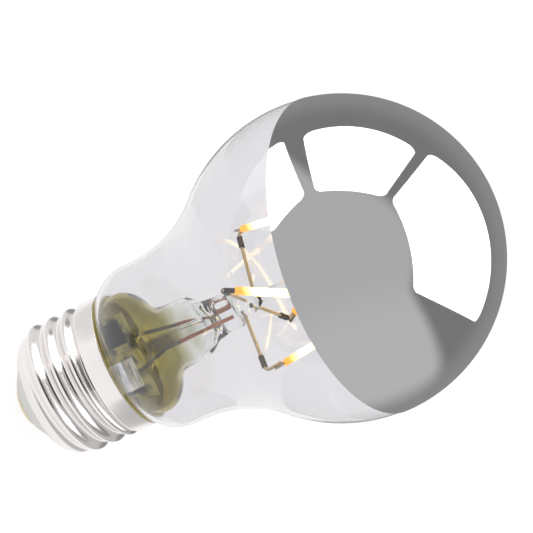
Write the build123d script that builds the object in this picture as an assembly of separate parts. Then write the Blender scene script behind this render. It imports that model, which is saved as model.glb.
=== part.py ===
from build123d import *

import math
import os

# Half-mirror LED filament bulb on an E27 screw cap. All sizes are in millimetres.
# The bulb stands on the tip of its centre contact: z = 0 is the tip, +Z runs to the silvered pole.
# Directions around the axis are azimuths in degrees: 0 is -Y, the side the photo shows, 90 is +X.

# Screw cap, standard E27 thread, 22.5 mm from rim to contact tip
pitch = 3.629
crest_r = 13.15
thread_depth = 1.1
root_r = crest_r - thread_depth
sheet = 0.3
rim_z = 22.5
band_step = 0.1
band_r = crest_r - band_step
band_low_z = 18.4
band_slope = 0.9
shell_low_z = 5.2
shell_foot_step = 1.05
shell_low_r = root_r - shell_foot_step
shell_corner_z = 6.4
thread_z = 8.92
thread_turns = 2.2
thread_end_azimuth = 30.0
run_out_turns = 0.3
ridge_root_half = 1.43
ridge_crest_half = 0.62
ridge_round = 0.6
ridge_sink = 0.3

# Insulator and contact in the foot of the cap
contact_r = 4.6
contact_edge_z = 0.7
contact_top_z = 1.5
contact_rim = 0.2
contact_sheet = 0.3
contact_collar = 2.0
collar_wall = 0.4
solder_bulge = 0.36
eyelet_hole_r = 0.6
solder_r = 2.3
solder_flat_r = 0.9
insulator_margin = 1.0
insulator_low_r = contact_r + insulator_margin
insulator_floor_z = 4.6
insulator_lip = 0.4
insulator_chamfer = 1.4
hole_margin = 1.6
insulator_hole_r = contact_r - hole_margin

# Envelope
sphere_r = 30.0
neck_step = 2.95
neck_r = crest_r + neck_step
neck_z = 31.0
neck_curve_r = 26.0
equator_z = neck_z + math.sqrt((sphere_r + neck_curve_r) ** 2 - (neck_r + neck_curve_r) ** 2)
straight_neck = 1.5
shoulder_z = neck_z - straight_neck
shoulder_r = 8.5
shoulder_angle = 51.3
seal_clearance = 0.45
seal_r = root_r - sheet - seal_clearance
seal_curve_r = 2.0
seal_z = 15.5
wall = 0.75

# Silver coat
coat = 0.12
coat_gap = 0.05
coat_rise = 3.0
coat_tip = 10.3
coat_lean = 6.2

# Cement between glass and cap
cement_low_z = 18.9
cement_top_z = rim_z

# Stem
stem_wall = 0.8
stem_r = 6.1
flare_clearance = 0.65
flare_rise = 8.0
flare_top_z = rim_z + flare_rise
foot_slope = 0.8
dome_z = 36.9
dome_rise = 3.0
pinch_low_z = 42.2
pinch_top_z = 45.6
pinch_width = 7.6
pinch_depth = 3.6
pinch_azimuth = 29.0
pinch_edge = 1.2
exhaust_r = 1.5
exhaust_wall = 0.6
exhaust_tip_z = 25.6

# Leads through the stem
lead_wire_r = 0.35
lead_spacing = 4.9
lead_bend_r = 1.0
lead_front_foot_x = 2.9
lead_front_foot_z = 22.9
lead_front_knee = Vector(1.25, -2.0, 31.0)
lead_rear_foot_x = -3.5
lead_rear_foot_z = 21.0
lead_clear_z = 24.0
lead_joint_z = 34.3
lead_straight_z = 38.3
seal_wire_top_z = 45.0

# Glass post
button_r = 2.2
button_foot_r = 1.65
button_low_z = pinch_top_z
button_top_z = 51.4
post_r = 1.1
bead_r = 2.0
bead_below = 1.0
bead_above = 4.0

# Filament cage
ring_inset = 15.25
ring_r = sphere_r - wall - ring_inset
cage_low_z = 51.4
cage_top_step = 11.0
cage_top_z = equator_z + cage_top_step
cage_twist = 72.0
filament_width = 1.5
filament_depth = 1.1
filament_round = 0.35
tab_width = 0.9
tab_depth = 0.3
tab_length = 2.0

# Wire arms: azimuth of each filament foot, height of the arm at the button, and the distance
# from the filament foot back to the bend of the arm
arm_azimuths = [-114.0, -12.0, 66.0, 157.0]
arm_button_zs = [49.7, 48.3, 46.8, 48.1]
arm_bend_backs = [1.4, 2.4, 3.6, 1.4]
arm_r = 0.32
arm_root_r = 1.0
arm_bend_r = 0.7
arm_lap = 0.35
sleeve_r = 0.55
sleeve_start = 0.76
sleeve_end = 0.93
upper_bend_back = 1.4
upper_wire_step = 1.5
upper_wire_z = cage_top_z + upper_wire_step
bead_low_z = cage_top_z - bead_below
bead_top_z = cage_top_z + bead_above

# Driver
board_margin = 3.25
board_width = 2 * (root_r - sheet - board_margin)
board_height = 19.9
board_depth = 1.0
board_y = 0.35
wire_r = 0.35
bridge_size = (4.7, 1.5, 3.9)
package_margin = 3.3
bridge_x = package_margin - board_width / 2
bridge_z = 21.3
chip_size = (5.0, 1.5, 4.0)
chip_x = package_margin - board_width / 2
chip_z = 15.6
choke_r = 3.0
choke_length = 5.0
choke_flange = 0.8
choke_winding_r = 2.55
choke_margin = 3.9
choke_x = board_width / 2 - choke_margin
choke_z = 8.2
capacitor_r = 3.1
capacitor_length = 6.5
capacitor_x = 3.2
capacitor_z = 20.6
resistor_r = 1.1
resistor_length = 4.4
resistor_lead_r = 0.3
resistor_span = 7.0
resistor_x = 4.2
resistor_z = 13.2
resistor_stand = 0.4
resistor_bend_r = 0.5
live_wire_low_z = 0.9
live_wire_top_z = 8.5
neutral_x = 5.0
neutral_z = 8.5
neutral_top_z = 12.5
neutral_stand = 1.6
neutral_rise = 1.0
neutral_bend_r = 0.6


def polar(radius, azimuth, z):
    a = math.radians(azimuth)
    return Vector(radius * math.sin(a), -radius * math.cos(a), z)


def turned(points):
    """Solid of revolution about Z from (radius, height) points."""
    outline = Polyline(*[(r, 0, z) for r, z in points], close=True)
    return revolve(make_face(outline), Axis.Z)


def rod(points, radius, bend=0.0):
    """Round wire along a path whose corners are bent to a radius."""
    if bend > 0:
        path = FilletPolyline(*points, radius=bend)
    else:
        path = Polyline(*points)
    start = Plane(origin=path @ 0, z_dir=path % 0)
    return sweep(start * Circle(radius), path=path)


# Screw cap

def ridge_face(root, crest, root_half, crest_half, rounding):
    """Cross-section of the rolled ridge, its foot sunk below the root so that it joins."""
    base_half = root_half + (root_half - crest_half) / (crest - root) * ridge_sink
    foot = root - ridge_sink
    flank = FilletPolyline(
        (foot, 0, -base_half),
        (crest, 0, -crest_half),
        (crest, 0, crest_half),
        (foot, 0, base_half),
        radius=rounding,
    )
    close = Line((foot, 0, base_half), (foot, 0, -base_half))
    return make_face(flank.edges() + close.edges())


def threaded(core, root, crest, root_half, crest_half, rounding):
    """The core with the helical ridge of the cap; each end of the ridge sinks into the core."""
    face = ridge_face(root, crest, root_half, crest_half, rounding)
    main_rise = pitch * thread_turns
    ridge = sweep(face, path=Helix(pitch, main_rise, root), is_frenet=True)
    end_rise = pitch * run_out_turns
    sink = crest - root + ridge_sink / 2
    slope = math.degrees(math.atan2(sink, end_rise))
    run_out = sweep(face, path=Helix(pitch, end_rise, root, cone_angle=-slope), is_frenet=True)
    low_run = run_out.rotate(Axis.X, 180)
    top_run = Pos(0, 0, main_rise) * run_out.rotate(Axis.Z, 360 * thread_turns)
    turn = thread_end_azimuth - 90 - 360 * thread_turns
    for piece in (ridge, low_run, top_run):
        core += Pos(0, 0, thread_z) * piece.rotate(Axis.Z, turn)
    return core


inner_root_r = root_r - sheet
flank_rise = (ridge_root_half - ridge_crest_half) / (crest_r - root_r)
flank_inset = sheet * math.sqrt(1 + flank_rise**2) - sheet * flank_rise
outer_blank = turned(
    [
        (0, shell_low_z),
        (shell_low_r, shell_low_z),
        (root_r, shell_corner_z),
        (root_r, band_low_z - band_slope),
        (band_r, band_low_z),
        (band_r, rim_z),
        (0, rim_z),
    ]
)
inner_blank = turned(
    [
        (0, shell_low_z - sheet),
        (shell_low_r - sheet, shell_low_z - sheet),
        (shell_low_r - sheet, shell_low_z),
        (inner_root_r, shell_corner_z),
        (inner_root_r, band_low_z - band_slope),
        (band_r - sheet, band_low_z),
        (band_r - sheet, rim_z + sheet),
        (0, rim_z + sheet),
    ]
)
outer_shape = threaded(
    outer_blank, root_r, crest_r, ridge_root_half, ridge_crest_half, ridge_round
)
inner_shape = threaded(
    inner_blank,
    inner_root_r,
    crest_r - sheet,
    ridge_root_half - flank_inset,
    ridge_crest_half - flank_inset,
    ridge_round - sheet / 3,
)
screw_shell = outer_shape - inner_shape

# The insulator fills the foot of the cap up to its floor and closes on the inside of the shell.
cap_insulator = turned(
    [
        (insulator_hole_r, contact_top_z),
        (insulator_low_r, contact_top_z),
        (shell_low_r - sheet, shell_low_z),
        (inner_root_r, shell_corner_z),
        (inner_root_r, shell_corner_z + insulator_lip),
        (inner_root_r - insulator_chamfer, insulator_floor_z),
        (insulator_hole_r, insulator_floor_z),
    ]
)
centre_contact = turned(
    [
        (eyelet_hole_r, contact_edge_z - contact_rim),
        (contact_r - 3 * contact_rim, contact_edge_z - contact_rim),
        (contact_r, contact_edge_z + contact_rim),
        (contact_r, contact_top_z),
        (insulator_hole_r, contact_top_z),
        (insulator_hole_r, contact_top_z + contact_collar),
        (insulator_hole_r - collar_wall, contact_top_z + contact_collar),
        (insulator_hole_r - collar_wall, contact_top_z - contact_sheet),
        (eyelet_hole_r, contact_top_z - contact_sheet),
    ]
)

# Tin solder fills the hole of the contact and stands proud as a low dome with a worn flat.
solder_low = contact_edge_z - contact_rim
solder_mid_r = (solder_r + solder_flat_r) / 2
dome_arc = ThreePointArc(
    (solder_r, 0, solder_low),
    (solder_mid_r, 0, solder_low * solder_bulge),
    (solder_flat_r, 0, 0),
)
solder_side = Polyline(
    (solder_flat_r, 0, 0),
    (0, 0, 0),
    (0, 0, live_wire_low_z),
    (wire_r, 0, live_wire_low_z),
    (wire_r, 0, contact_top_z - contact_sheet),
    (eyelet_hole_r, 0, contact_top_z - contact_sheet),
    (eyelet_hole_r, 0, solder_low),
    (solder_r, 0, solder_low),
)
contact_solder = revolve(make_face(dome_arc.edges() + solder_side.edges()), Axis.Z)

# Envelope: one continuous outline, offset inwards by the wall for the inside.

curve_centre_r = neck_r + neck_curve_r
curve_drop = equator_z - neck_z
join_angle = math.atan2(curve_drop, curve_centre_r)
shoulder_a = math.radians(shoulder_angle)
shoulder_centre = (neck_r - shoulder_r, shoulder_z)
seal_centre_r = seal_r + seal_curve_r


def arc_point(centre, radius, angle):
    return (centre[0] + radius * math.cos(angle), 0, centre[1] + radius * math.sin(angle))


def slope_end(inset):
    """Where the slope under the shoulder reaches the curve into the seal, at this depth of glass."""
    start = arc_point(shoulder_centre, shoulder_r - inset, -shoulder_a)
    end_r = seal_centre_r - (seal_curve_r + inset) * math.cos(shoulder_a)
    run = (start[0] - end_r) / math.sin(shoulder_a)
    return (end_r, 0, start[2] - run * math.cos(shoulder_a))


def envelope_outline(inset):
    """Outline from the pole down to the seal, lying inset millimetres inside the glass surface."""
    ball_r = sphere_r - inset
    curve_r = neck_curve_r + inset
    waist_r = neck_r - inset
    brow_r = shoulder_r - inset
    turn_r = seal_curve_r + inset
    pole = (0, 0, equator_z + ball_r)
    ball_side = arc_point((0, equator_z), ball_r, (math.pi / 2 - join_angle) / 2)
    ball_end = arc_point((0, equator_z), ball_r, -join_angle)
    curve_centre = (curve_centre_r, neck_z)
    curve_mid = arc_point(curve_centre, curve_r, math.pi - join_angle / 2)
    curve_end = (waist_r, 0, neck_z)
    brow_start = (waist_r, 0, shoulder_z)
    brow_mid = arc_point(shoulder_centre, brow_r, -shoulder_a / 2)
    brow_end = arc_point(shoulder_centre, brow_r, -shoulder_a)
    turn_start = slope_end(inset)
    turn_centre = (seal_centre_r, turn_start[2] - turn_r * math.sin(shoulder_a))
    turn_mid = arc_point(turn_centre, turn_r, math.pi - shoulder_a / 2)
    turn_end = (seal_centre_r - turn_r, 0, turn_centre[1])
    foot = (seal_centre_r - turn_r, 0, seal_z)
    return [
        ThreePointArc(pole, ball_side, ball_end),
        ThreePointArc(ball_end, curve_mid, curve_end),
        Line(curve_end, brow_start),
        ThreePointArc(brow_start, brow_mid, brow_end),
        Line(brow_end, turn_start),
        ThreePointArc(turn_start, turn_mid, turn_end),
        Line(turn_end, foot),
    ]


def envelope_face(inset):
    edges = envelope_outline(inset)
    foot = edges[-1] @ 1
    edges.append(Line(foot, (0, 0, seal_z)))
    edges.append(Line((0, 0, seal_z), edges[0] @ 0))
    return make_face([line.edge() for line in edges])


glass_outer = revolve(envelope_face(0), Axis.Z)
glass_bulb = glass_outer - revolve(envelope_face(wall), Axis.Z)

# Silver coat: a skin on the outside of the sphere. Its edge lies in a plane that passes a little
# above the centre, tipped towards the front and leaning towards +X, as in the photo.
coat_inner_r = sphere_r + coat_gap
coat_ball = Sphere(coat_inner_r + coat) - Sphere(coat_inner_r)
cut_side = 4 * sphere_r
below_plane = Box(cut_side, cut_side, cut_side, align=(Align.CENTER, Align.CENTER, Align.MAX))
cutter = Pos(0, 0, coat_rise) * Rot(coat_tip, coat_lean, 0) * below_plane
mirror_coating = Pos(0, 0, equator_z) * (coat_ball - cutter)

# Cement fills the gap between the glass and the band of the cap.
cement_gap = turned(
    [
        (0, cement_low_z),
        (band_r - sheet, cement_low_z),
        (band_r - sheet, cement_top_z),
        (0, cement_top_z),
    ]
)
cement_ring = cement_gap - glass_outer

# Stem

# The flare is a bell: its foot closes on the seal of the envelope, its wall stands straight and
# turns over in a quarter circle to the tube.
foot_r = seal_r - wall
flare_r = foot_r - flare_clearance
foot_top_z = seal_z + stem_wall
stem_bore_r = stem_r - stem_wall
bell_curve_r = flare_r - stem_r
bell_centre = (stem_r, flare_top_z - bell_curve_r)


def quarter(radius):
    """Quarter circle of the bell, from its wall to its top."""
    start = arc_point(bell_centre, radius, 0)
    middle = arc_point(bell_centre, radius, math.pi / 4)
    end = arc_point(bell_centre, radius, math.pi / 2)
    return ThreePointArc(start, middle, end)


bell_outside = quarter(bell_curve_r)
bell_inside = quarter(bell_curve_r - stem_wall)
flare_lines = [
    bell_outside,
    bell_inside,
    Polyline(
        bell_outside @ 0,
        (flare_r, 0, foot_top_z + foot_slope),
        (foot_r, 0, foot_top_z),
        (foot_r, 0, seal_z),
        (flare_r - stem_wall, 0, seal_z),
        bell_inside @ 0,
    ),
    Polyline(
        bell_outside @ 1,
        (stem_r, 0, dome_z),
        (stem_bore_r, 0, dome_z),
        (stem_bore_r, 0, flare_top_z - stem_wall),
        bell_inside @ 1,
    ),
]
flare = revolve(make_face([edge for line in flare_lines for edge in line.edges()]), Axis.Z)

# The top of the tube narrows from round to the flat pinch.
pinch_turn = pinch_azimuth - 90
pinch_outline = RectangleRounded(pinch_width, pinch_depth, pinch_edge)
pinch_section = Plane(origin=(0, 0, pinch_low_z)) * Rot(0, 0, pinch_turn) * pinch_outline
pinch_neck = loft([Plane(origin=(0, 0, dome_z)) * Circle(stem_r), pinch_section])
pinch_block = extrude(pinch_section, pinch_top_z - pinch_low_z)
dome_mid = (stem_bore_r * math.sin(math.pi / 4), 0, dome_z + dome_rise * math.sin(math.pi / 4))
dome_curve = ThreePointArc((stem_bore_r, 0, dome_z), dome_mid, (0, 0, dome_z + dome_rise))
dome_rest = Polyline((0, 0, dome_z + dome_rise), (0, 0, dome_z), (stem_bore_r, 0, dome_z))
dome_hollow = revolve(make_face(dome_curve.edges() + dome_rest.edges()), Axis.Z)
stem_glass = flare + (pinch_neck - dome_hollow) + pinch_block

# Leads: each runs from the driver board up the tube, turns straight below the pinch and goes
# through it. The lower part is copper, the part in the glass is copper-clad.
lead_half = lead_spacing / 2
front_face_y = board_y - lead_wire_r
rear_face_y = board_y + board_depth + lead_wire_r
lead_starts = [
    [
        Vector(lead_front_foot_x, front_face_y, lead_front_foot_z),
        Vector(lead_front_foot_x, front_face_y, lead_clear_z),
        lead_front_knee,
    ],
    [
        Vector(lead_rear_foot_x, rear_face_y, lead_rear_foot_z),
        Vector(lead_rear_foot_x, rear_face_y, lead_clear_z),
    ],
]
lead_wires = []
seal_wires = []
for side in range(2):
    azimuth = pinch_azimuth + 180 * side
    bend = polar(lead_half, azimuth, lead_straight_z)
    top = polar(lead_half, azimuth, seal_wire_top_z)
    knee = lead_starts[side][-1]
    share = (lead_joint_z - knee.Z) / (bend.Z - knee.Z)
    joint = knee + (bend - knee) * share
    lead_wires.append(rod([*lead_starts[side], joint], lead_wire_r, lead_bend_r))
    seal_wires.append(rod([joint, bend, top], lead_wire_r, lead_bend_r))

# Glass post: button on the pinch, rod, and a bead under the silvered pole.
button_mid_z = (button_low_z + button_top_z) / 2
button_tip = (0, 0, button_top_z)
button_foot = (button_foot_r, 0, button_low_z)
button_side = ThreePointArc(button_tip, (button_r, 0, button_mid_z), button_foot)
button_rest = Polyline(button_foot, (0, 0, button_low_z), button_tip)
button_face = make_face(button_side.edges() + button_rest.edges())
bead_half = (bead_top_z - bead_low_z) / 2
bead = Pos(0, 0, bead_low_z + bead_half) * (Sphere(bead_half) & Cylinder(bead_r, 2 * bead_half))
shaft_low_z = button_top_z - button_r
shaft = Pos(0, 0, shaft_low_z) * Cylinder(
    post_r, bead_low_z + post_r - shaft_low_z, align=(Align.CENTER, Align.CENTER, Align.MIN)
)
post_glass = revolve(button_face, Axis.Z) + shaft + bead

# Filament cage: each filament is a straight strip between two rings, turned by the twist.
arms = []
sleeves = []
filaments = []
lower_tabs = []
upper_tabs = []
upper_wires = []


def strip(origin, along, outward, length, width, depth):
    """Flat strip that starts at origin, its flat side facing outward."""
    across = along.cross(outward)
    base = Plane(origin=origin, x_dir=across, z_dir=along)
    return extrude(base * Rectangle(width, depth), length)


def wire_to_tab(root, foot, along, outward, back):
    """Path of a wire from the glass to the inside face of a tab, bent to lie along the tab."""
    gap = outward * (arm_r + tab_depth / 2)
    corner = foot - along * back - gap
    tip = foot - along * arm_lap - gap
    return [root, corner, tip]


for azimuth, button_z, bend_back in zip(arm_azimuths, arm_button_zs, arm_bend_backs):
    foot = polar(ring_r, azimuth, cage_low_z)
    head = polar(ring_r, azimuth + cage_twist, cage_top_z)
    along = (head - foot).normalized()
    radial = Vector(foot.X, foot.Y, 0).normalized()
    outward = (radial - along * radial.dot(along)).normalized()
    top_radial = Vector(head.X, head.Y, 0).normalized()
    top_outward = (top_radial - along * top_radial.dot(along)).normalized()

    across = along.cross(outward)
    body_plane = Plane(origin=foot, x_dir=across, z_dir=along)
    body_outline = RectangleRounded(filament_width, filament_depth, filament_round)
    filaments.append(extrude(body_plane * body_outline, (head - foot).length))
    tab_foot = foot - along * tab_length
    lower_tabs.append(strip(tab_foot, along, outward, tab_length, tab_width, tab_depth))
    upper_tabs.append(strip(head, along, top_outward, tab_length, tab_width, tab_depth))

    path = wire_to_tab(Vector(0, 0, 0), foot, along, outward, bend_back)
    corner = path[1]
    bearing = Vector(corner.X, corner.Y, 0).normalized()
    root = bearing * arm_root_r + Vector(0, 0, button_z)
    arm = rod([root, corner, path[2]], arm_r, arm_bend_r)
    arms.append(arm)
    sleeve_low = root + (corner - root) * sleeve_start
    sleeve_high = root + (corner - root) * sleeve_end
    sleeves.append(rod([sleeve_low, sleeve_high], sleeve_r) - arm)

    path = wire_to_tab(Vector(0, 0, 0), head, along * -1, top_outward, upper_bend_back)
    corner = path[1]
    bearing = Vector(corner.X, corner.Y, 0).normalized()
    root = bearing * arm_root_r + Vector(0, 0, upper_wire_z)
    upper_wires.append(rod([root, corner, path[2]], arm_r, arm_bend_r))

glass_post = post_glass
for piece in arms + upper_wires:
    glass_post = glass_post - piece

exhaust_bore_r = exhaust_r - exhaust_wall
exhaust_blank = turned(
    [
        (0, exhaust_tip_z),
        (exhaust_bore_r, exhaust_tip_z + exhaust_wall),
        (exhaust_r, exhaust_tip_z + 2 * exhaust_wall),
        (exhaust_r, dome_z + dome_rise),
        (exhaust_bore_r, dome_z + dome_rise),
        (exhaust_bore_r, exhaust_tip_z + 3 * exhaust_wall),
        (0, exhaust_tip_z + 2 * exhaust_wall),
    ]
)
stem_flare = stem_glass
for piece in seal_wires:
    stem_flare = stem_flare - piece
exhaust_tube = exhaust_blank - stem_glass

# Driver in the cap: a board standing on the floor of the insulator, its top in the bell of the
# stem, with components on both faces. The capacitor lies across the front near the top.

back_y = board_y + board_depth
driver_board = Pos(0, board_y, insulator_floor_z) * Box(
    board_width, board_depth, board_height, align=(Align.CENTER, Align.MIN, Align.MIN)
)


def on_front(width, depth, height, x, z):
    return Pos(x, board_y, z) * Box(width, depth, height, align=(Align.CENTER, Align.MAX, Align.CENTER))


bridge_rectifier = on_front(*bridge_size, bridge_x, bridge_z)
driver_chip = on_front(*chip_size, chip_x, chip_z)


def on_back(radius, length, x, z):
    return Pos(x, back_y + length / 2, z) * Rot(90, 0, 0) * Cylinder(radius, length)


choke_end = on_back(choke_r, choke_flange, choke_x, choke_z)
choke = on_back(choke_winding_r, choke_length, choke_x, choke_z) + choke_end
choke += Pos(0, choke_length - choke_flange, 0) * choke_end
capacitor_y = board_y - capacitor_r
capacitor_can = Rot(0, 90, 0) * Cylinder(capacitor_r, capacitor_length)
smoothing_capacitor = Pos(capacitor_x, capacitor_y, capacitor_z) * capacitor_can

half_span = resistor_span / 2
resistor_y = back_y + resistor_r + resistor_stand
resistor_path = [
    Vector(resistor_x - half_span, back_y, resistor_z),
    Vector(resistor_x - half_span, resistor_y, resistor_z),
    Vector(resistor_x + half_span, resistor_y, resistor_z),
    Vector(resistor_x + half_span, back_y, resistor_z),
]
resistor_core = Rot(0, 90, 0) * Cylinder(resistor_r, resistor_length)
resistor_body = Pos(resistor_x, resistor_y, resistor_z) * resistor_core
fusible_resistor = rod(resistor_path, resistor_lead_r, resistor_bend_r) + resistor_body

live_wire = rod([(0, board_y - wire_r, live_wire_low_z), (0, board_y - wire_r, live_wire_top_z)], wire_r)
neutral_wall_x = inner_root_r - wire_r
neutral_path = [
    Vector(neutral_x, board_y, neutral_z),
    Vector(neutral_x, board_y - neutral_stand, neutral_z),
    Vector(neutral_wall_x, 0, neutral_z + neutral_rise),
    Vector(neutral_wall_x, 0, neutral_top_z),
]
neutral_wire = rod(neutral_path, wire_r, neutral_bend_r)

pieces = {
    "screw_shell": screw_shell,
    "cap_insulator": cap_insulator,
    "centre_contact": centre_contact,
    "contact_solder": contact_solder,
    "cement_ring": cement_ring,
    "glass_bulb": glass_bulb,
    "mirror_coating": mirror_coating,
    "stem_flare": stem_flare,
    "exhaust_tube": exhaust_tube,
    "glass_post": glass_post,
    "driver_board": driver_board,
    "bridge_rectifier": bridge_rectifier,
    "driver_chip": driver_chip,
    "choke": choke,
    "smoothing_capacitor": smoothing_capacitor,
    "fusible_resistor": fusible_resistor,
    "live_wire": live_wire,
    "neutral_wire": neutral_wire,
}
sets = {
    "lead_wire": lead_wires,
    "seal_wire": seal_wires,
    "support_arm": arms,
    "arm_sleeve": sleeves,
    "filament": filaments,
    "lower_tab": lower_tabs,
    "upper_tab": upper_tabs,
    "upper_wire": upper_wires,
}
for name, members in sets.items():
    for number, member in enumerate(members, start=1):
        pieces[f"{name}_{number}"] = member

os.makedirs("parts", exist_ok=True)
for name, piece in pieces.items():
    export_step(piece, f"parts/{name}.step")
    print(name, round(piece.volume, 2), "mm3")
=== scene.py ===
# %% [markdown]
# # A half-mirror filament bulb
#
# This lesson dresses a CAD model of a light bulb: clear blown glass, a silvered half,
# a glass stem with a twisted cage of four glowing strips, and a nickel-plated screw cap.
# The bulb stands on the tip of its contact at the origin, its axis is +Z, and lengths are in
# metres. The photographed side faces -Y.

import math

import bpy
from mathutils import Matrix, Vector


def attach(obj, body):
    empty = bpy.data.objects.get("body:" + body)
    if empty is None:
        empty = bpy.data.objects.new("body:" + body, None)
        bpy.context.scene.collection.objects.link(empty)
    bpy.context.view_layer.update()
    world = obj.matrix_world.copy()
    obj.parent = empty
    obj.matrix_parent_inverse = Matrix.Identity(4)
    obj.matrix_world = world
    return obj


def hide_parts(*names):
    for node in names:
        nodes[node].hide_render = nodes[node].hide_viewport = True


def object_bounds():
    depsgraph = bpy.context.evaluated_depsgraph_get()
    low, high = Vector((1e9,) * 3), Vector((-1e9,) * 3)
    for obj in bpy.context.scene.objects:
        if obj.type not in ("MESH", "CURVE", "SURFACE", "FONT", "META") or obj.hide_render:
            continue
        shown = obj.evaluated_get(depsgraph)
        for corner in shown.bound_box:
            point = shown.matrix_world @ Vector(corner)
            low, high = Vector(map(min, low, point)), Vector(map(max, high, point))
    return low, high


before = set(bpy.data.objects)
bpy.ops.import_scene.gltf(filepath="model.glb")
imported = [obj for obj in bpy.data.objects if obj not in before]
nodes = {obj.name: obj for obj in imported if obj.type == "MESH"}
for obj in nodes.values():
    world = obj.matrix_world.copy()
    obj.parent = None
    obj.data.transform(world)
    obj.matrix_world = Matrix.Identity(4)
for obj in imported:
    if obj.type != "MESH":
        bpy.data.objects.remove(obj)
cad_box = [list(corner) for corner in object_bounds()]
print("CAD nodes:", len(nodes), "box in metres:", cad_box)

# %% [markdown]
# ## The camera
#
# The picture is a long-lens view: the ball of the bulb is off the middle of the picture, and the
# axis points up to the right and a little towards the lens. The camera is built from those facts.
# One direction in the camera's own space (towards the ball) is matched with the same direction
# in the world, and the axis of the bulb is given its slope in the picture.

# %% Place the camera
MM = 0.001
BALL = 30.0 * MM
COAT_OUTSIDE = 0.17 * MM
EQUATOR = cad_box[1][2] - BALL - COAT_OUTSIDE
PIXELS = 533
SENSOR_MM = 36.0
FOCAL_PIXELS = 4388.0
BALL_RIGHT = 75.0
BALL_ABOVE = 7.7
AXIS_SLOPE = math.radians(25.1)
LEAN_TO_LENS = math.radians(16.5)
LENS_DISTANCE = 800.0 * MM
NEAREST_SEEN = 0.01
FARTHEST_SEEN = 30.0

to_camera = Vector((0, -math.cos(LEAN_TO_LENS), math.sin(LEAN_TO_LENS)))
ball_centre = Vector((0, 0, EQUATOR))


def basis(first, hint):
    """A rotation matrix whose columns are first, the part of hint square to it, and their cross."""
    first = first.normalized()
    second = (hint - first * hint.dot(first)).normalized()
    return Matrix((first, second, first.cross(second))).transposed()


seen_from_lens = Vector((BALL_RIGHT / FOCAL_PIXELS, BALL_ABOVE / FOCAL_PIXELS, -1))
in_camera = basis(seen_from_lens, Vector((math.cos(AXIS_SLOPE), math.sin(AXIS_SLOPE), 0)))
in_world = basis(-to_camera, Vector((0, 0, 1)))
camera_turn = in_world @ in_camera.transposed()

camera_data = bpy.data.cameras.new("camera")
camera_data.sensor_width = SENSOR_MM
camera_data.lens = SENSOR_MM * FOCAL_PIXELS / PIXELS
camera_data.clip_start = NEAREST_SEEN
camera_data.clip_end = FARTHEST_SEEN
camera = bpy.data.objects.new("camera", camera_data)
camera_place = Matrix.Translation(ball_centre + to_camera * LENS_DISTANCE)
camera.matrix_world = camera_place @ camera_turn.to_4x4()
bpy.context.collection.objects.link(camera)
bpy.context.scene.camera = camera
print("lens in mm:", round(camera_data.lens, 1))
print("camera at:", [round(c, 3) for c in camera.location])

# %% [markdown]
# ## Modelling helpers
#
# Turned pieces, such as blown glass, start as one point that is extruded along the outline of
# the piece and then spun round the axis. Operators act on all that is selected, so each step
# begins with nothing selected.

# %% Helpers for turned pieces
def deselect_all():
    """Leaves edit mode and selects nothing."""
    if bpy.context.object and bpy.context.object.mode != "OBJECT":
        bpy.ops.object.mode_set(mode="OBJECT")
    bpy.ops.object.select_all(action="DESELECT")


def arc(centre, radius, start, end, steps):
    """Points (radius, height) along an arc, with angles in degrees from the +radius direction."""
    points = []
    for step in range(steps + 1):
        a = math.radians(start + (end - start) * step / steps)
        points.append((centre[0] + radius * math.cos(a), centre[1] + radius * math.sin(a)))
    return points


def without_repeats(points, least=0.002):
    """Leaves out each point that lies this close, in millimetres, to the one before it."""
    kept = [points[0]]
    for point in points[1:]:
        if math.dist(point, kept[-1]) > least:
            kept.append(point)
    return kept


def turned_piece(name, outline, steps=128):
    """Spins an outline of (radius, height) points in millimetres round Z."""
    outline = without_repeats(outline)
    deselect_all()
    first = Vector((outline[0][0], 0, outline[0][1])) * MM
    bpy.ops.mesh.primitive_plane_add(size=0.001, location=(0, 0, 0))
    piece = bpy.context.object
    piece.name = name
    piece.data.name = name
    bpy.ops.object.mode_set(mode="EDIT")
    bpy.ops.mesh.select_all(action="SELECT")
    bpy.ops.mesh.merge(type="CENTER")
    bpy.ops.transform.translate(value=first)
    last = first
    for radius, height in outline[1:]:
        point = Vector((radius, 0, height)) * MM
        bpy.ops.mesh.extrude_region_move(TRANSFORM_OT_translate={"value": point - last})
        last = point
    bpy.ops.mesh.select_all(action="SELECT")
    bpy.ops.mesh.spin(steps=steps, angle=math.tau, center=(0, 0, 0), axis=(0, 0, 1))
    bpy.ops.mesh.select_all(action="SELECT")
    bpy.ops.mesh.remove_doubles(threshold=1e-6)
    bpy.ops.mesh.normals_make_consistent(inside=False)
    bpy.ops.object.mode_set(mode="OBJECT")
    bpy.ops.object.shade_smooth()
    return piece


def choose(piece):
    """Selects this piece alone and makes it the active one."""
    deselect_all()
    piece.select_set(True)
    bpy.context.view_layer.objects.active = piece


def apply_modifier(piece, kind, **settings):
    """Adds a modifier with these settings and applies it to the mesh."""
    choose(piece)
    modifier = piece.modifiers.new(kind.lower(), kind)
    for key, value in settings.items():
        setattr(modifier, key, value)
    bpy.ops.object.modifier_apply(modifier=modifier.name)


def smooth_within(piece, degrees):
    """Smooth shading, with a crisp edge wherever faces meet at more than this angle."""
    choose(piece)
    bpy.ops.object.shade_smooth_by_angle(angle=math.radians(degrees))


def report(piece):
    """Prints what a piece came to."""
    size = [round(1000 * d, 2) for d in piece.dimensions]
    print(piece.name, "faces:", len(piece.data.polygons), "size in mm:", size)


# %% [markdown]
# ## The clear envelope
#
# The real envelope is blown from one glass tube, so the ball, the neck and the round shoulder
# run into each other without a seam. The outline is a chain of arcs that touch: the ball, a
# hollow curve into the neck, a straight neck, and the shoulder that dives into the cap. Solidify
# then gives the skin its thickness on the inside.

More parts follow.
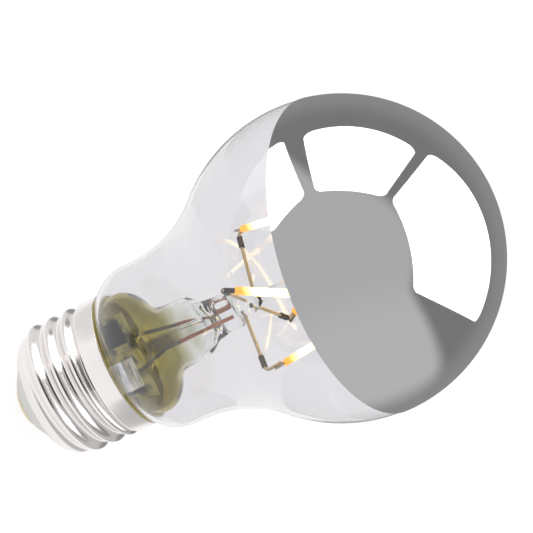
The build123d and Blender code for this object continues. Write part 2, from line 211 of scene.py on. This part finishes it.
# %% Envelope
MIDDLE = EQUATOR / MM
BALL_RADIUS = BALL / MM
NECK_RADIUS = 16.1
NECK_TOP = 31.0
HOLLOW_RADIUS = 26.0
SHOULDER_RADIUS = 8.5
SHOULDER_TOP = 29.5
SHOULDER_ANGLE = 51.3
SEAL_RADIUS = 11.3
SEAL_CURVE = 2.0
SEAL_FOOT = 15.5
GLASS = 0.75

join_angle = math.degrees(math.atan2(MIDDLE - NECK_TOP, NECK_RADIUS + HOLLOW_RADIUS))
hollow_centre = (NECK_RADIUS + HOLLOW_RADIUS, NECK_TOP)
shoulder_centre = (NECK_RADIUS - SHOULDER_RADIUS, SHOULDER_TOP)
ball_arc = arc((0, MIDDLE), BALL_RADIUS, 90, -join_angle, 60)
hollow_arc = arc(hollow_centre, HOLLOW_RADIUS, 180 - join_angle, 180, 24)
shoulder_arc = arc(shoulder_centre, SHOULDER_RADIUS, 0, -SHOULDER_ANGLE, 18)
slope = math.radians(SHOULDER_ANGLE)
slope_foot_radius = SEAL_RADIUS + SEAL_CURVE * (1 - math.cos(slope))
slope_run = (shoulder_arc[-1][0] - slope_foot_radius) / math.sin(slope)
slope_foot = shoulder_arc[-1][1] - slope_run * math.cos(slope)
seal_centre = (SEAL_RADIUS + SEAL_CURVE, slope_foot - SEAL_CURVE * math.sin(slope))
seal_arc = arc(seal_centre, SEAL_CURVE, 180 - SHOULDER_ANGLE, 180, 8)
envelope_outline = ball_arc + hollow_arc + shoulder_arc + seal_arc + [(SEAL_RADIUS, SEAL_FOOT)]

envelope = turned_piece("clear_envelope", envelope_outline, steps=160)
apply_modifier(envelope, "SOLIDIFY", thickness=GLASS * MM, offset=-1.0, use_even_offset=True)
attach(envelope, "root")
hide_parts("glass_bulb")
report(envelope)

# %% [markdown]
# ## The silvered half
#
# The silver is a film on the far half of the ball. Its edge is askew, as masked coatings often
# are and as the photograph shows: the plane of the edge passes a little above the centre, tips
# towards the lens and leans to the right. A fine sphere is cut by it and given a thin wall.

# %% Silver skin
COAT_RISE = 3.0 * MM
COAT_TIP = math.radians(10.3)
COAT_LEAN = math.radians(6.2)
COAT_THICKNESS = 0.12 * MM
CUT_TOLERANCE = 1e-7
CRISP_FROM = 45
edge_square = Vector((math.sin(COAT_LEAN), -math.sin(COAT_TIP), math.cos(COAT_TIP)))
deselect_all()
bpy.ops.mesh.primitive_uv_sphere_add(
    segments=192,
    ring_count=96,
    radius=BALL + COAT_OUTSIDE,
    location=ball_centre,
)
silver = bpy.context.object
silver.name = "silver_skin"
silver.data.name = "silver_skin"
bpy.ops.object.transform_apply(location=True, rotation=True, scale=True)
bpy.ops.object.mode_set(mode="EDIT")
bpy.ops.mesh.select_all(action="SELECT")
bpy.ops.mesh.bisect(
    plane_co=(0, 0, EQUATOR + COAT_RISE),
    plane_no=edge_square,
    clear_inner=True,
    clear_outer=False,
    use_fill=False,
    threshold=CUT_TOLERANCE,
)
bpy.ops.object.mode_set(mode="OBJECT")
bpy.ops.object.shade_smooth()
apply_modifier(silver, "SOLIDIFY", thickness=COAT_THICKNESS, offset=-1.0)
smooth_within(silver, CRISP_FROM)
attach(silver, "root")
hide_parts("mirror_coating")
report(silver)

# %% [markdown]
# ## The screw cap
#
# The cap is thin sheet, drawn to a cup and rolled into a round thread, so its wave is as smooth
# in the valleys as on the crests and fades out at both ends. A spun tube with fine rows gets its
# wave from one formula for the radius: the wave climbs one pitch per turn.

# %% Rolled thread
PITCH = 3.629
CREST = 13.15
ROOT = 12.05
BAND = 13.05
FIRST_CREST = 16.6
FOOT = 5.2
RIM = 22.5
ROWS = 120
FOOT_NARROWER = 1.05
FOOT_ROUND = (4.4, 6.9)
BAND_RISE = (17.8, 18.8)
THREAD_START = (6.0, 8.4)
THREAD_END = (17.1, 18.9)
SHEET = 0.3 * MM
EDGE_ROUND = 0.08 * MM
BEVELLED_FROM = math.radians(50)


def ease(value, low, high):
    """0 below low, 1 above high, and a smooth step between."""
    t = min(1.0, max(0.0, (value - low) / (high - low)))
    return t * t * (3 - 2 * t)


def cap_radius(height, turn):
    """Outer radius of the cap at a height in mm, and an angle in radians from the front."""
    body = ROOT - FOOT_NARROWER * (1 - ease(height, *FOOT_ROUND))
    body += (BAND - ROOT) * ease(height, *BAND_RISE)
    strength = ease(height, *THREAD_START) * (1 - ease(height, *THREAD_END))
    wave = 0.5 + 0.5 * math.cos(math.tau * ((height - FIRST_CREST) / PITCH - turn / math.tau))
    return body + (CREST - ROOT) * strength * wave


rows = [(BAND, FOOT + (RIM - FOOT) * step / ROWS) for step in range(ROWS + 1)]
cap = turned_piece("rolled_cap", rows, steps=160)
for vertex in cap.data.vertices:
    turn = math.atan2(vertex.co.x, -vertex.co.y)
    radius = cap_radius(vertex.co.z / MM, turn) * MM
    aside = Vector((vertex.co.x, vertex.co.y)).normalized() * radius
    vertex.co.x, vertex.co.y = aside
apply_modifier(cap, "SOLIDIFY", thickness=SHEET, offset=-1.0)
apply_modifier(
    cap,
    "BEVEL",
    width=EDGE_ROUND,
    segments=2,
    limit_method="ANGLE",
    angle_limit=BEVELLED_FROM,
)
smooth_within(cap, CRISP_FROM)
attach(cap, "root")
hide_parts("screw_shell")
report(cap)

# %% [markdown]
# ## The glass stem
#
# The stem is a glass tube. Its foot is blown out to a round bell that is sealed to the envelope,
# and its top was pressed flat while soft, which closed it round the wires. The outline runs up
# the outside, over the top and down the inside, is spun, and is then pressed towards an oblong.

# %% Stem
TUBE_RADIUS = 6.1
TUBE_WALL = 0.8
TUBE_FOOT = 35.0
TUBE_ROWS = 24
TOP_ROUND = 0.8
INSIDE_LEAST = 5.3
PRESS_LOW = 36.9
PRESS_FULL = 42.2
STEM_TOP = 45.6
PRESS_HALF_WIDTH = 3.8
PRESS_HALF_DEPTH = 1.8
PRESS_TURN = math.radians(29.0)
PRESS_ROUND = 0.6
AXIS = 0.001

bell = [(10.3, 16.0), (10.45, 18.0), (10.9, 20.0), (11.5, 22.0), (11.9, 23.6), (12.05, 25.0)]
bell += [(11.85, 26.3), (11.3, 27.4), (10.5, 28.3), (9.5, 29.0), (8.5, 29.55), (7.6, 30.1)]
bell += [(6.9, 30.8), (6.4, 31.7), (6.15, 32.8), (TUBE_RADIUS, 34.0), (TUBE_RADIUS, TUBE_FOOT)]
row_height = (STEM_TOP - TUBE_FOOT - TOP_ROUND) / TUBE_ROWS
tube = [(TUBE_RADIUS, TUBE_FOOT + step * row_height) for step in range(1, TUBE_ROWS + 1)]
top = [(TUBE_RADIUS - 0.25, STEM_TOP - 0.2), (TUBE_RADIUS - TOP_ROUND, STEM_TOP), (AXIS, STEM_TOP)]
dome = [(AXIS, 41.6), (2.5, 41.4), (4.2, 40.7), (5.0, 39.6), (TUBE_RADIUS - TUBE_WALL, 38.2)]
lining = [(max(out - TUBE_WALL, INSIDE_LEAST), up - 0.3) for out, up in reversed(bell[1:])]
stem_outline = bell + tube + top + dome + lining + [(9.5, 16.0), bell[0]]
stem = turned_piece("glass_stem", stem_outline, steps=112)


def press(x, y, height):
    """Moves a point of the round tube towards an oblong with round corners."""
    amount = ease(height, PRESS_LOW, PRESS_FULL)
    turn = math.atan2(y, x) - PRESS_TURN
    cosine = math.cos(turn)
    sine = math.sin(turn)
    share = math.hypot(x, y) / (TUBE_RADIUS * MM)
    wide = PRESS_HALF_WIDTH * MM * math.copysign(abs(cosine) ** PRESS_ROUND, cosine) * share
    deep = PRESS_HALF_DEPTH * MM * math.copysign(abs(sine) ** PRESS_ROUND, sine) * share
    pressed_x = wide * math.cos(PRESS_TURN) - deep * math.sin(PRESS_TURN)
    pressed_y = wide * math.sin(PRESS_TURN) + deep * math.cos(PRESS_TURN)
    return x + (pressed_x - x) * amount, y + (pressed_y - y) * amount


for vertex in stem.data.vertices:
    vertex.co.x, vertex.co.y = press(vertex.co.x, vertex.co.y, vertex.co.z / MM)
smooth_within(stem, 60)
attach(stem, "root")
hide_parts("stem_flare")
report(stem)

# %% [markdown]
# ## Node helpers
#
# Shader maths reads best as Python expressions, so one small class wraps a socket and adds a
# Math node for each operator. A second class wraps one material and adds any other node.

# %% Shader expression classes
class Field:
    """A number that varies over a surface."""

    def __init__(self, tree, socket):
        self.tree = tree
        self.socket = socket

    def maths(self, operation, *values):
        """Adds one Math node."""
        node = self.tree.nodes.new("ShaderNodeMath")
        node.operation = operation
        for index, value in enumerate(values):
            if isinstance(value, Field):
                self.tree.links.new(value.socket, node.inputs[index])
            else:
                node.inputs[index].default_value = value
        return Field(self.tree, node.outputs[0])

    def __add__(self, other):
        return self.maths("ADD", self, other)

    __radd__ = __add__

    def __sub__(self, other):
        return self.maths("SUBTRACT", self, other)

    def __rsub__(self, other):
        return self.maths("SUBTRACT", other, self)

    def __mul__(self, other):
        return self.maths("MULTIPLY", self, other)

    __rmul__ = __mul__

    def step(self, low, high):
        """0 below low and 1 above high, smoothly."""
        node = self.tree.nodes.new("ShaderNodeMapRange")
        node.interpolation_type = "SMOOTHSTEP"
        self.tree.links.new(self.socket, node.inputs["Value"])
        node.inputs["From Min"].default_value = low
        node.inputs["From Max"].default_value = high
        return Field(self.tree, node.outputs["Result"])


class Finish:
    """One material, or the world, built from nodes."""

    def __init__(self, name, store=bpy.data.materials, place="Object", kind="Material"):
        self.material = store.new(name)
        self.material.use_nodes = True
        self.tree = self.material.node_tree
        self.tree.nodes.clear()
        self.kind = kind
        self.place = self.node("ShaderNodeTexCoord", place)

    def feed(self, node, index, value):
        """Links a field to one socket of a node, or writes a plain value there."""
        if isinstance(value, Field):
            self.tree.links.new(value.socket, node.inputs[index])
        else:
            node.inputs[index].default_value = value

    def node(self, kind, output=0, settings=None, **sockets):
        """Adds a node; sockets are named with _ for a space. Returns one of its outputs."""
        node = self.tree.nodes.new(kind)
        for key, value in (settings or {}).items():
            setattr(node, key, value)
        for key, value in sockets.items():
            self.feed(node, key.replace("_", " "), value)
        return Field(self.tree, node.outputs[output])

    def noise(self, scale, detail=2.0, stretch=(1, 1, 1)):
        """Noise from 0 to 1, finer where the scale or the stretch is larger."""
        mapped = self.node("ShaderNodeMapping", Vector=self.place, Scale=stretch)
        return self.node("ShaderNodeTexNoise", "Fac", Vector=mapped, Scale=scale, Detail=detail)

    def axis(self, letter):
        """The X, Y or Z coordinate in metres."""
        return self.node("ShaderNodeSeparateXYZ", letter, Vector=self.place)

    def blend(self, amount, first, second):
        """A colour between two colours."""
        node = self.tree.nodes.new("ShaderNodeMix")
        node.data_type = "RGBA"
        for index, value in ((0, amount), (6, first), (7, second)):
            self.feed(node, index, value)
        return Field(self.tree, node.outputs[2])

    def bump(self, height, strength, distance):
        """A bent normal from a field of heights."""
        return self.node("ShaderNodeBump", Height=height, Strength=strength, Distance=distance)

    def mixed(self, amount, first, second):
        """A shader between two shaders."""
        node = self.tree.nodes.new("ShaderNodeMixShader")
        for index, value in enumerate((amount, first, second)):
            self.feed(node, index, value)
        return Field(self.tree, node.outputs[0])

    def ray(self, kind):
        """1 for one kind of ray, such as Camera."""
        return self.node("ShaderNodeLightPath", f"Is {kind} Ray")

    def mirrored(self):
        """1 for a mirrored ray. A ray refracted by glass counts as glossy too, and is left out."""
        return self.ray("Glossy") * (1.0 - self.ray("Transmission"))

    def toward(self, direction, vector):
        """How far a vector points along a fixed direction."""
        settings = {"operation": "DOT_PRODUCT"}
        dot = self.node("ShaderNodeVectorMath", "Value", settings, Vector=vector)
        self.feed(dot.socket.node, 1, direction)
        return dot

    def surface(self, **sockets):
        """Ends the material with one Principled shader."""
        self.finish(self.node("ShaderNodeBsdfPrincipled", **sockets))

    def finish(self, shader):
        """Links the last shader to the output."""
        output = self.tree.nodes.new("ShaderNodeOutput" + self.kind)
        self.tree.links.new(shader.socket, output.inputs["Surface"])


def paint(piece, finish):
    """Gives every slot of a piece this finish."""
    if not piece.material_slots:
        piece.data.materials.append(finish.material)
    for slot in piece.material_slots:
        slot.material = finish.material


def grey(value):
    """A grey colour with full alpha."""
    return (value, value, value, 1)


# %% [markdown]
# ## Glass
#
# Bulb glass is soda-lime glass: almost colourless, with a faint cool tint that is a little
# darker on the neck than on the ball. The roughness stays near zero; a very slow noise in the
# bump gives the slight waviness of blown glass. Olive gold is painted into the bell of the stem,
# but for its front, as a painted reflection of the ochre cement; it clears up along the tube,
# as the photograph shows.

# %% Glass finishes
CLEARER_UPWARDS = (0.040, 0.080)
OLIVE_STARTS = (0.0195, 0.0235)
OLIVE_ENDS = (0.0285, 0.0375)
OLIVE_BEHIND = (-0.0095, -0.0025)

envelope_glass = Finish("bulb_glass")
waves = envelope_glass.noise(60.0, 1.0)
# The tint is a little darker towards the neck than over the ball.
toward_ball = envelope_glass.axis("Z").step(*CLEARER_UPWARDS)
neck_tint = (0.842, 0.833, 0.847, 1)
ball_tint = (0.872, 0.865, 0.881, 1)
envelope_glass.surface(
    Base_Color=envelope_glass.blend(toward_ball, neck_tint, ball_tint),
    Roughness=0.0,
    IOR=1.45,
    Transmission_Weight=1.0,
    Normal=envelope_glass.bump(waves, 0.04, 0.0004),
)
paint(envelope, envelope_glass)

stem_glass = Finish("stem_glass")
ripples = stem_glass.noise(220.0, 1.5)
stem_height = stem_glass.axis("Z")
# Painted reflection: the olive gold of the ochre cement, painted into the glass of the bell and the
# foot of the tube.
painted_cement_olive = stem_glass.blend(ripples, (0.33, 0.285, 0.03, 1), (0.52, 0.46, 0.11, 1))
clear_tint = (0.96, 0.98, 0.975, 1)
around_bell = stem_height.step(*OLIVE_STARTS) * (1.0 - stem_height.step(*OLIVE_ENDS))
far_side = stem_glass.axis("Y").step(*OLIVE_BEHIND)
stem_glass.surface(
    Base_Color=stem_glass.blend(around_bell * far_side, clear_tint, painted_cement_olive),
    Roughness=0.015,
    IOR=1.4,
    Transmission_Weight=1.0,
    Normal=stem_glass.bump(ripples, 0.06, 0.0004),
)
paint(stem, stem_glass)
for name in ("exhaust_tube", "glass_post"):
    paint(nodes[name], stem_glass)
print("glass finishes: 2")

# %% [markdown]
# ## Silver and nickel
#
# The silver film is a clean mirror. Nickel plate on the rolled cap is warmer and duller, with
# fine lines round the cap from the rolling and a few dull patches from handling.

# %% Metal finishes
silver_film = Finish("silver_film")
cloud = silver_film.noise(45.0, 3.0)
silver_film.surface(
    Base_Color=(0.86, 0.86, 0.87, 1),
    Metallic=1.0,
    Roughness=cloud * 0.02 + 0.02,
)
paint(silver, silver_film)

nickel = Finish("nickel_plate")
patches = nickel.noise(160.0, 3.0)
rings = nickel.noise(900.0, 2.0, (0.02, 0.02, 1.0))
nickel.surface(
    Base_Color=nickel.blend(patches, (0.82, 0.78, 0.765, 1), (0.89, 0.86, 0.85, 1)),
    Metallic=1.0,
    Roughness=patches * 0.12 + rings * 0.08 + 0.10,
    Normal=nickel.bump(rings, 0.10, 0.00005),
)
paint(cap, nickel)


def worn_metal(name, scale, dark, light, smoothest, metallic=1.0):
    """Metal mottled between two colours, and duller where it is lighter."""
    finish = Finish(name)
    wear = finish.noise(scale, 3.0)
    finish.surface(
        Base_Color=finish.blend(wear, dark, light),
        Metallic=metallic,
        Roughness=wear * 0.2 + smoothest,
    )
    return finish


contact_metal = worn_metal("contact_brass", 500.0, (0.62, 0.52, 0.3, 1), (0.76, 0.68, 0.46, 1), 0.2)
paint(nodes["centre_contact"], contact_metal)

solder = Finish("tin_solder")
crazed = solder.noise(900.0, 4.0)
solder.surface(
    Base_Color=solder.blend(crazed, (0.52, 0.52, 0.53, 1), (0.74, 0.74, 0.75, 1)),
    Metallic=1.0,
    Roughness=crazed * 0.25 + 0.25,
    Normal=solder.bump(crazed, 0.3, 0.0001),
)
paint(nodes["contact_solder"], solder)
print("metal finishes: 4")

# %% [markdown]
# ## Insulator and cement
#
# The foot of the cap is a white moulding with a satin skin. The cement that holds the envelope
# in the cap is a fine ochre plaster that shows as a thin line at the rim. Light from the lit
# strips reaches it through the glass, and the finish paints that light in as a faint glow.

# %% Insulator and cement finishes
white_moulding = Finish("white_moulding")
flow = white_moulding.noise(300.0, 2.0)
white_moulding.surface(
    Base_Color=white_moulding.blend(flow, (0.93, 0.92, 0.90, 1), (0.97, 0.965, 0.95, 1)),
    Roughness=flow * 0.15 + 0.30,
    Normal=white_moulding.bump(flow, 0.15, 0.0001),
)
paint(nodes["cap_insulator"], white_moulding)

cement = Finish("ochre_cement")
grain = cement.noise(2500.0, 4.0)
ochre = cement.blend(grain, (0.28, 0.235, 0.075, 1), (0.50, 0.43, 0.18, 1))
cement.surface(
    Base_Color=ochre,
    Roughness=0.85,
    # Painted light: the emission is a faint glow for the light that reaches the cement through the
    # glass.
    Emission_Color=ochre,
    Emission_Strength=0.6,
    Normal=cement.bump(grain, 0.4, 0.0001),
)
paint(nodes["cement_ring"], cement)
print("foot finishes: 2")

# %% [markdown]
# ## Wires
#
# The leads are grey tinned wire up to the pinch and copper-clad, reddish, where they pass
# through its glass. The arms are nickel wire, with the warm light of the strips painted into
# their colour. The tab of the nearest strip is as dark as the sleeves.

# %% Wire finishes
copper = worn_metal("copper_wire", 1500.0, (0.26, 0.07, 0.035, 1), (0.52, 0.20, 0.12, 1), 0.2)
for name in ("seal_wire_1", "seal_wire_2", "live_wire", "neutral_wire"):
    paint(nodes[name], copper)

tin_dark = (0.10, 0.095, 0.09, 1)
tin_light = (0.30, 0.285, 0.27, 1)
tinned = worn_metal("tinned_lead", 1100.0, tin_dark, tin_light, 0.25, 0.8)
for name in ("lead_wire_1", "lead_wire_2"):
    paint(nodes[name], tinned)

# Painted light: the warm light of the lit strips is painted into the colour of the nickel arms.
arm_dark = (0.62, 0.47, 0.28, 1)
arm_light = (0.78, 0.66, 0.46, 1)
arm_metal = worn_metal("arm_wire", 1300.0, arm_dark, arm_light, 0.3, 0.7)
tab_dark = (0.34, 0.27, 0.18, 1)
tab_light = (0.55, 0.47, 0.36, 1)
tab_metal = worn_metal("tab_metal", 1800.0, tab_dark, tab_light, 0.3, 0.8)
sleeve_dark = (0.02, 0.018, 0.015, 1)
sleeve_light = (0.09, 0.075, 0.06, 1)
sleeve_metal = worn_metal("dark_sleeve", 1500.0, sleeve_dark, sleeve_light, 0.35, 0.4)
STRIPS = (1, 2, 3, 4)
NEAREST_STRIP = 2
for number in STRIPS:
    paint(nodes[f"support_arm_{number}"], arm_metal)
    paint(nodes[f"upper_wire_{number}"], arm_metal)
    paint(nodes[f"arm_sleeve_{number}"], sleeve_metal)
    paint(nodes[f"lower_tab_{number}"], sleeve_metal if number == NEAREST_STRIP else tab_metal)
    paint(nodes[f"upper_tab_{number}"], tab_metal)
print("wire finishes: 5")

# %% [markdown]
# ## The lit strips
#
# Each strip is a row of tiny chips under a coat of phosphor. Lit, the coat glows near white in
# the middle of its length, and its unlit ends keep the orange of the phosphor.

# %% Phosphor
GLOW_STARTS = (0.0524, 0.0550)
GLOW_ENDS = (0.0754, 0.0780)

phosphor = Finish("lit_phosphor")
strip_height = phosphor.axis("Z")
from_ends = strip_height.step(*GLOW_STARTS) * (1.0 - strip_height.step(*GLOW_ENDS))
mottle = phosphor.noise(1200.0, 2.0)
phosphor.surface(
    Base_Color=phosphor.blend(mottle, (0.95, 0.42, 0.08, 1), (1.0, 0.55, 0.14, 1)),
    Roughness=0.45,
    Emission_Color=phosphor.blend(from_ends, (0.20, 0.075, 0.004, 1), (1.0, 0.80, 0.25, 1)),
    Emission_Strength=5.6,
)
for number in STRIPS:
    paint(nodes[f"filament_{number}"], phosphor)
print("phosphor finish: 1")

# %% [markdown]
# ## The driver in the cap
#
# The driver stands in the cap, and its top shows through the bell of the stem: brown board,
# black moulded packages, dark ferrite, a bright capacitor can with a dark bung, and a glazed
# resistor. The board and the can carry a faint painted glow, though they are no lamps.

# %% Driver finishes
def plain_finish(name, dark, light, roughness):
    """A moulded or glazed skin, mottled between two colours."""
    finish = Finish(name)
    mottled = finish.noise(900.0, 3.0)
    finish.surface(
        Base_Color=finish.blend(mottled, dark, light),
        Roughness=mottled * 0.15 + roughness,
        Normal=finish.bump(mottled, 0.15, 0.0001),
    )
    return finish


board = Finish("board_mask")
weave = board.noise(350.0, 4.0).step(0.40, 0.62)
mask = board.blend(weave, (0.05, 0.045, 0.02, 1), (0.30, 0.26, 0.08, 1))
# Painted glow: the emission lights the board, which is no lamp.
board.surface(Base_Color=mask, Roughness=0.4, Emission_Color=mask, Emission_Strength=0.7)
paint(nodes["driver_board"], board)
moulding = plain_finish("black_moulding", grey(0.012), grey(0.03), 0.5)
paint(nodes["bridge_rectifier"], moulding)
paint(nodes["driver_chip"], moulding)
paint(nodes["choke"], plain_finish("ferrite", grey(0.02), grey(0.05), 0.6))

BUNG_STARTS = (0.0056, 0.0058)
can = Finish("capacitor_can")
brushed = can.noise(900.0, 3.0, (0.25, 1.0, 1.0)).step(0.35, 0.65)
bung = can.axis("X").step(*BUNG_STARTS)
bright_can = can.blend(brushed, (0.34, 0.34, 0.36, 1), (0.84, 0.83, 0.84, 1))
can_colour_and_glow = can.blend(bung, bright_can, (0.02, 0.022, 0.05, 1))
# Painted glow: the emission brightens the can, which is no lamp.
can.surface(
    Base_Color=can_colour_and_glow,
    Metallic=1.0 - bung,
    Emission_Color=can_colour_and_glow,
    Emission_Strength=0.4,
    Roughness=brushed * 0.15 + 0.22,
)
paint(nodes["smoothing_capacitor"], can)
glaze = plain_finish("resistor_glaze", (0.12, 0.2, 0.18, 1), (0.2, 0.3, 0.27, 1), 0.35)
paint(nodes["fusible_resistor"], glaze)

# %% [markdown]
# ## Studio
#
# The photograph is a cut-out on white. The room is a white floor and a white world as the
# camera and the clear glass see it, and the metal cap sees the same white floor round its foot.
# The finish of the floor glows where the lens or the clear glass looks at it, and where it is
# mirrored close to the foot. Mirrored from farther off it is clear, so that the silver shows the
# tent instead of the floor.

# %% Floor
FLOOR_SIZE = 6.0
FLOOR_DROP = 0.2 * MM
MIRRORED_FLOOR_ENDS = (0.10, 0.14)

deselect_all()
bpy.ops.mesh.primitive_plane_add(size=FLOOR_SIZE, location=(0, 0, -FLOOR_DROP))
floor = bpy.context.object
floor.name = "floor"

floor_paper = Finish("white_paper")
mirrored = floor_paper.mirrored()
multiply = {"operation": "MULTIPLY"}
across = floor_paper.node("ShaderNodeVectorMath", 0, multiply, Vector=floor_paper.place)
floor_paper.feed(across.socket.node, 1, (1, 1, 0))
length = {"operation": "LENGTH"}
from_foot = floor_paper.node("ShaderNodeVectorMath", "Value", length, Vector=across)
far = from_foot.step(*MIRRORED_FLOOR_ENDS)
bright = floor_paper.node(
    "ShaderNodeBsdfPrincipled",
    Base_Color=grey(0.12),
    Roughness=1.0,
    Emission_Color=grey(0.90),
    Emission_Strength=1.0,
)
plain = floor_paper.node("ShaderNodeBsdfDiffuse", Color=grey(0.75))
clear = floor_paper.node("ShaderNodeBsdfTransparent")
seen = floor_paper.ray("Camera")
direct = seen.maths("MAXIMUM", seen, floor_paper.ray("Transmission"))
paper = floor_paper.mixed(direct.maths("MAXIMUM", direct, mirrored), plain, bright)
floor_paper.finish(floor_paper.mixed(mirrored * far, paper, clear))
paint(floor, floor_paper)
print("floor: white paper,", FLOOR_SIZE, "metres wide")

# %% [markdown]
# ## World
#
# The world is plain white but for mirrored rays, which meet a grey tent. The tent is darker to
# the upper right of the lens and behind the bulb, and a little lighter below.

# %% White world with a grey tent in reflections
TENT_LIGHT = 0.46
TENT_DARK = 0.205
TENT_BEHIND = 0.27
TENT_LOW = 0.05
DARK_BEARING = math.radians(40.0)
DARK_BACKWARDS = 0.25
LOW_SIDE = Vector((0.3, -1.0, 0.0))

world = Finish("studio_world", bpy.data.worlds, "Generated", "World")
bpy.context.scene.world = world.material
darkest = Vector((math.cos(DARK_BEARING), math.sin(DARK_BEARING), 0))
dark_side = camera_turn @ darkest - DARK_BACKWARDS * to_camera
facing = world.toward(to_camera, world.place)
round_lens = facing.step(0.52, 0.70)
on_dark_side = world.toward(dark_side, world.place).step(0.10, 0.26) * (1.0 - round_lens)
behind = (facing * -1.0).step(0.40, 0.88)
below = world.toward(camera_turn @ LOW_SIDE, world.place).step(0.2, 0.9)
tent = below * TENT_LOW + TENT_LIGHT
tent = tent + on_dark_side * (TENT_DARK - tent)
tent = tent + behind * (TENT_BEHIND - tent)
grey_tent = world.node("ShaderNodeBackground", Color=(0.99, 0.995, 1.0, 1), Strength=tent)
white = world.node("ShaderNodeBackground", Color=grey(1.0), Strength=1.0)
world.finish(world.mixed(world.mirrored(), white, grey_tent))
print("world: white, with a grey tent in reflections")

# %% [markdown]
# ## White panels
#
# Three large panels around the lens are what the bright windows on the silver are. Each is a
# flat sheet whose corners are directions from the ball, measured from the lens axis. Only
# mirrored rays see the panels, so they light nothing else.

# %% White panels
PANEL_DISTANCE = 0.9
PANEL_ROUND = 0.10
PANEL_LIGHT = 2.2
RING_ORDER = (0, 1, 3, 2)


def sheet_for_reflections(name, light):
    """A glowing sheet, one metre wide, that is seen by mirrored rays only."""
    deselect_all()
    bpy.ops.mesh.primitive_plane_add(size=1.0)
    sheet = bpy.context.object
    sheet.name = name
    sheet.visible_camera = False
    sheet.visible_transmission = False
    sheet.visible_diffuse = False
    glow = Finish(name + "_light")
    glow.finish(glow.node("ShaderNodeEmission", Color=grey(1.0), Strength=light))
    paint(sheet, glow)
    return sheet


def panel(name, corners):
    """A flat white sheet with round corners. Each corner has a bearing in degrees round the lens
    axis, and how far it lies in front of the ball for each metre that it stands aside."""
    middle = math.radians((corners[0][0] + corners[-2][0]) / 2)
    out = Vector((math.cos(middle), math.sin(middle), 0))
    side = Vector((-math.sin(middle), math.cos(middle), 0))
    places = []
    for bearing, depth in corners:
        turn = math.radians(bearing) - middle
        place = out + side * math.tan(turn) + Vector((0, 0, depth / math.cos(turn)))
        places.append(ball_centre + camera_turn @ (place * PANEL_DISTANCE))
    sheet = sheet_for_reflections(name, PANEL_LIGHT)
    for vertex, corner in zip(sheet.data.vertices, RING_ORDER):
        vertex.co = places[corner]
    bpy.ops.object.mode_set(mode="EDIT")
    bpy.ops.mesh.select_all(action="SELECT")
    bpy.ops.mesh.bevel(offset=PANEL_ROUND, segments=8, affect="VERTICES")
    bpy.ops.object.mode_set(mode="OBJECT")


panel("panel_left", ((160.0, 0.78), (120.5, 0.82), (115.8, -0.26), (160.0, 0.10)))
panel("panel_top", ((112.0, 0.84), (56.0, 0.80), (55.0, -0.22), (107.0, -0.20)))
panel("panel_right", ((50.0, 0.76), (-24.6, 0.72), (-25.0, -0.68), (50.0, -0.34)))
print("panels: 3")

# %% [markdown]
# ## Cards by the cap
#
# A small black card in front of the cap, on the side of the lens, draws the dark streaks on the
# crests of the thread, and a white one on each side keeps the ends of the crests pale. Only
# reflections see them, and from the photographed side all three are too low to be mirrored in
# the silver.

# %% Cards
CAP_MIDDLE = Vector((0, 0, 0.012))


def card(name, direction, reach, size, light):
    """A flat card that faces the cap from a direction."""
    direction = Vector(direction).normalized()
    sheet = sheet_for_reflections(name, light)
    sheet.scale = (size[0], size[1], 1.0)
    sheet.rotation_euler = direction.to_track_quat("Z", "Y").to_euler()
    sheet.location = CAP_MIDDLE + direction * reach
    sheet.visible_shadow = False


card("black_card", (-0.14, -0.95, 0.29), 0.058, (0.056, 0.034), 0.02)
card("left_card", (-1.0, 0.05, 0.0), 0.055, (0.110, 0.050), 0.80)
card("right_card", (1.0, 0.05, 0.0), 0.055, (0.100, 0.050), 0.55)
print("cards: 3")

# %% [markdown]
# ## Finish
#
# The view transform is Standard, so a colour renders about as it is written.

bpy.context.scene.view_settings.view_transform = "Standard"
